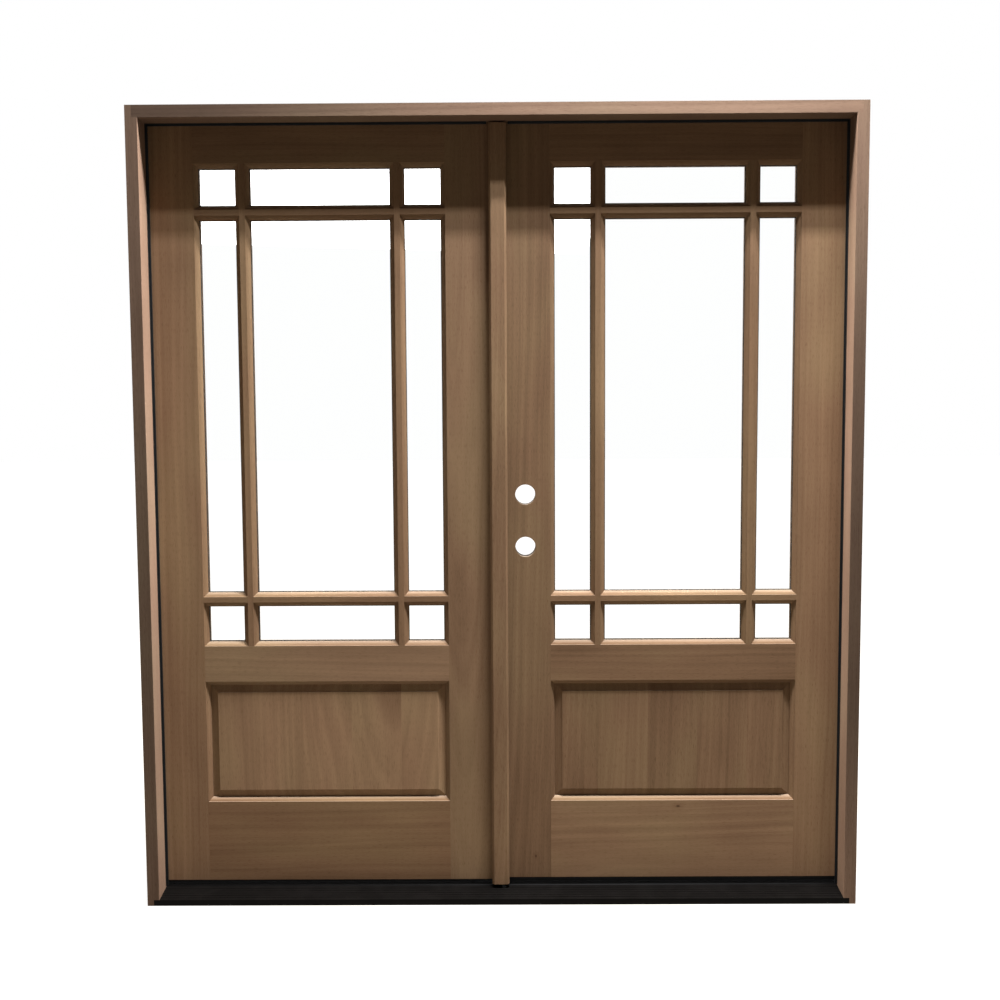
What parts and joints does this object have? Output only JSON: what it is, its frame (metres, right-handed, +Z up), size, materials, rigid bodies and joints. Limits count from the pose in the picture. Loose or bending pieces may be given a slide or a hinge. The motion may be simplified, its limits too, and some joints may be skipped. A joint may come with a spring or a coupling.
{
  "type": "double front door",
  "caption": "Prehung pair of timber entrance doors: glazed over a raised panel, hung in a rabbeted frame with a sloping sill, closing on a T-section astragal.",
  "frame": {"origin": "middle of the sill's underside, halfway through the frame's depth", "axes": "+X to the right seen from outside, +Y inwards, the way the leaves open, +Z up"},
  "size_m": [1.89, 0.13, 2.094],
  "materials": {
    "door_timber": "bare sanded timber",
    "frame_timber": "bare sanded timber",
    "dark_bronze_sill": "dark bronze anodised",
    "sill_core": "moulded composite",
    "clear_glass": "clear",
    "black_seal": "matt",
    "hinge_metal": "oil-rubbed dark bronze"
  },
  "bodies": {
    "frame": {"left_jamb": "frame_timber", "right_jamb": "frame_timber", "head_jamb": "frame_timber", "sill_deck": "dark_bronze_sill", "sill_substrate": "sill_core", "sill_cap": "dark_bronze_sill", "left_weatherstrip": "black_seal", "right_weatherstrip": "black_seal", "head_weatherstrip": "black_seal", "left_frame_hinge_plates": "hinge_metal", "right_frame_hinge_plates": "hinge_metal", "left_hinge_pins": "hinge_metal", "right_hinge_pins": "hinge_metal"},
    "left_leaf": {"left_hinge_stile": "door_timber", "left_meeting_stile": "door_timber", "left_top_rail": "door_timber", "left_mid_rail": "door_timber", "left_bottom_rail": "door_timber", "left_raised_panel": "door_timber", "left_vertical_bars": "door_timber", "left_cross_bars": "door_timber", "left_glazing_beads": "door_timber", "left_glass_panes": "clear_glass", "left_bottom_sweep": "black_seal", "left_leaf_hinge_plates": "hinge_metal", "astragal": "door_timber", "astragal_leg": "door_timber", "astragal_seal": "black_seal"},
    "right_leaf": {"right_hinge_stile": "door_timber", "right_meeting_stile": "door_timber", "right_top_rail": "door_timber", "right_mid_rail": "door_timber", "right_bottom_rail": "door_timber", "right_raised_panel": "door_timber", "right_vertical_bars": "door_timber", "right_cross_bars": "door_timber", "right_glazing_beads": "door_timber", "right_glass_panes": "clear_glass", "right_bottom_sweep": "black_seal", "right_leaf_hinge_plates": "hinge_metal"}
  },
  "joints": [
    {"name": "left_leaf_swing", "type": "hinge", "parent": "frame", "child": "left_leaf", "pos_m": [-0.9235, 0.065, 1.1065], "axis": [0, 0, 1], "range_deg": [0, 110]},
    {"name": "right_leaf_swing", "type": "hinge", "parent": "frame", "child": "right_leaf", "pos_m": [0.9235, 0.065, 1.1065], "axis": [0, 0, -1], "range_deg": [0, 110]}
  ]
}
